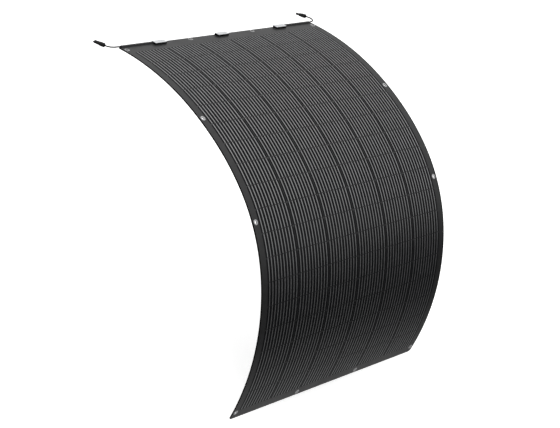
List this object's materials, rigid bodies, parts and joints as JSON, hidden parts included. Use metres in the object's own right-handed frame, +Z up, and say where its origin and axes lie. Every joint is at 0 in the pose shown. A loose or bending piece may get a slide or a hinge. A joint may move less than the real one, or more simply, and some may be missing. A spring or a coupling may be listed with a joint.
{
  "type": "flexible solar sheet",
  "caption": "Thin flexible solar laminate with finely lined cells, bent in a curve, with edge eyelets, slim junction boxes along the top and short leads with locking connectors.",
  "frame": {"origin": "half way between the two eyelets in the top corners, half way through the laminate", "axes": "+X the way the sheet leaves its top edge, +Y across the sheet, +Z up, square to the flat top margin"},
  "size_m": [1.1336, 1.2982, 1.1522],
  "materials": {
    "film": "clear satin fluoropolymer film over black encapsulant",
    "cell": "near-black silicon",
    "back_sheet": "black fibre-filled back sheet",
    "steel_eyelet": "polished stainless steel",
    "steel_washer": "stainless steel",
    "ribbon": "tinned copper",
    "adhesive": "black foam adhesive tape",
    "copper": "bare copper",
    "diode": "moulded epoxy",
    "potting": "dark silicone",
    "lid": "pale grey moulded plastic",
    "box": "black moulded plastic",
    "cover": "dark grey extruded plastic",
    "cable": "black cable jacket",
    "seal": "black silicone rubber",
    "nut": "black moulded plastic",
    "connector": "black moulded plastic",
    "contact": "tin-plated copper"
  },
  "bodies": {
    "section_1": {"back_sheet_1": "back_sheet", "cell_rows_1": "cell", "eyelet_washers_1": "steel_washer", "eyelets_1": "steel_eyelet", "front_film_1": "film", "adhesive_pads": "adhesive", "bus_ribbons_top": "ribbon", "bypass_diodes": "diode", "cable_cover_left": "cover", "cable_cover_right": "cover", "cable_ends_in_connectors": "cable", "cable_seals": "seal", "cables_under_covers": "cable", "junction_box_centre": "box", "junction_box_left": "box", "junction_box_lid_centre": "lid", "junction_box_lid_left": "lid", "junction_box_lid_right": "lid", "junction_box_right": "box", "lead_left": "cable", "lead_right": "cable", "plug_body_left": "connector", "plug_contact_left": "contact", "potting_blocks": "potting", "socket_body_right": "connector", "socket_contact_right": "contact", "terminal_plates": "copper"},
    "section_2": {"back_sheet_2": "back_sheet", "cell_rows_2": "cell", "front_film_2": "film"},
    "section_3": {"back_sheet_3": "back_sheet", "cell_rows_3": "cell", "eyelet_washers_3": "steel_washer", "eyelets_3": "steel_eyelet", "front_film_3": "film"},
    "section_4": {"back_sheet_4": "back_sheet", "cell_rows_4": "cell", "front_film_4": "film"},
    "section_5": {"back_sheet_5": "back_sheet", "cell_rows_5": "cell", "eyelet_washers_5": "steel_washer", "eyelets_5": "steel_eyelet", "front_film_5": "film"},
    "section_6": {"back_sheet_6": "back_sheet", "cell_rows_6": "cell", "front_film_6": "film"},
    "section_7": {"back_sheet_7": "back_sheet", "cell_rows_7": "cell", "front_film_7": "film"},
    "section_8": {"back_sheet_8": "back_sheet", "cell_rows_8": "cell", "front_film_8": "film"},
    "section_9": {"back_sheet_9": "back_sheet", "cell_rows_9": "cell", "eyelet_washers_9": "steel_washer", "eyelets_9": "steel_eyelet", "front_film_9": "film", "bus_ribbons_bottom": "ribbon"},
    "gland_nut_left": {"gland_nut_left": "nut"},
    "gland_nut_right": {"gland_nut_right": "nut"}
  },
  "joints": [
    {"name": "bend_1", "type": "hinge", "parent": "section_1", "child": "section_2", "pos_m": [0.20904, 0, -0.01939], "axis": [0, 1, 0], "range_deg": [-10.35, 11.4]},
    {"name": "bend_2", "type": "hinge", "parent": "section_2", "child": "section_3", "pos_m": [0.38691, 0, -0.06939], "axis": [0, 1, 0], "range_deg": [-9.5, 10.5]},
    {"name": "bend_3", "type": "hinge", "parent": "section_3", "child": "section_4", "pos_m": [0.55421, 0, -0.14793], "axis": [0, 1, 0], "range_deg": [-10.1, 11.1]},
    {"name": "bend_4", "type": "hinge", "parent": "section_4", "child": "section_5", "pos_m": [0.70514, 0, -0.2544], "axis": [0, 1, 0], "range_deg": [-13, 14.3]},
    {"name": "bend_5", "type": "hinge", "parent": "section_5", "child": "section_6", "pos_m": [0.82823, 0, -0.39183], "axis": [0, 1, 0], "range_deg": [-14.7, 16.2]},
    {"name": "bend_6", "type": "hinge", "parent": "section_6", "child": "section_7", "pos_m": [0.91256, 0, -0.55593], "axis": [0, 1, 0], "range_deg": [-13.3, 14.7]},
    {"name": "bend_7", "type": "hinge", "parent": "section_7", "child": "section_8", "pos_m": [0.95692, 0, -0.73518], "axis": [0, 1, 0], "range_deg": [-11.6, 12.8]},
    {"name": "bend_8", "type": "hinge", "parent": "section_8", "child": "section_9", "pos_m": [0.9645, 0, -0.91974], "axis": [0, 1, 0], "range_deg": [-11.8, 13]},
    {"name": "gland_nut_left_turn", "type": "hinge", "parent": "section_1", "child": "gland_nut_left", "pos_m": [-0.07326, -0.62853, -0.00056], "axis": [-0.9944, -0.0663, -0.0829], "continuous": true},
    {"name": "gland_nut_right_turn", "type": "hinge", "parent": "section_1", "child": "gland_nut_right", "pos_m": [-0.11472, 0.64372, -0.00734], "axis": [-0.9651, 0.1769, -0.193], "continuous": true}
  ],
  "couplings": [
    {"joint": "bend_2", "follows": "bend_1", "ratio": 0.91304},
    {"joint": "bend_3", "follows": "bend_1", "ratio": 0.97101},
    {"joint": "bend_4", "follows": "bend_1", "ratio": 1.2512},
    {"joint": "bend_5", "follows": "bend_1", "ratio": 1.4155},
    {"joint": "bend_6", "follows": "bend_1", "ratio": 1.285},
    {"joint": "bend_7", "follows": "bend_1", "ratio": 1.1159},
    {"joint": "bend_8", "follows": "bend_1", "ratio": 1.1353}
  ]
}
